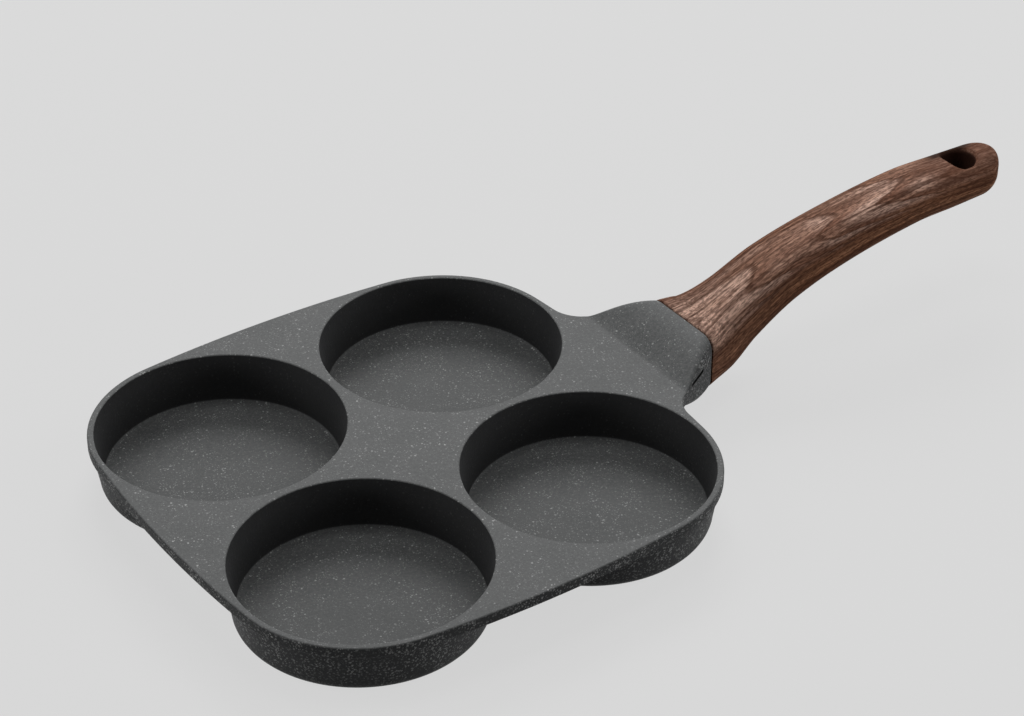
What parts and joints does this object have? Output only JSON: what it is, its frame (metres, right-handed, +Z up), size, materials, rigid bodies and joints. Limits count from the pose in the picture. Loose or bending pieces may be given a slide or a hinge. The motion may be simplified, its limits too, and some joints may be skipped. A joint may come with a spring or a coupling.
{
  "type": "four-cavity burger pan",
  "caption": "Burger pan with a flat deck, round flat-bottomed cavities, a flared cast neck and a rising wood-look handle with a hanging hole.",
  "frame": {"origin": "middle of the cavities, on the deck's flat top face", "axes": "+X from the pan towards the handle's tip, +Z up out of the deck, +Y to the left seen from the pan towards the handle"},
  "size_m": [0.4124, 0.2146, 0.0608],
  "materials": {
    "stone_coat": "cast aluminium under a grey stone-effect non-stick coat with pale specks",
    "wood_look": "satin phenolic moulding with a printed dark wood grain",
    "steel": "stainless"
  },
  "bodies": {
    "root": {"pan_body": "stone_coat", "handle": "wood_look", "handle_screw": "steel", "spring_washer": "steel", "flat_washer": "steel", "base_disc_1": "steel", "base_disc_2": "steel", "base_disc_3": "steel", "base_disc_4": "steel"}
  },
  "joints": []
}
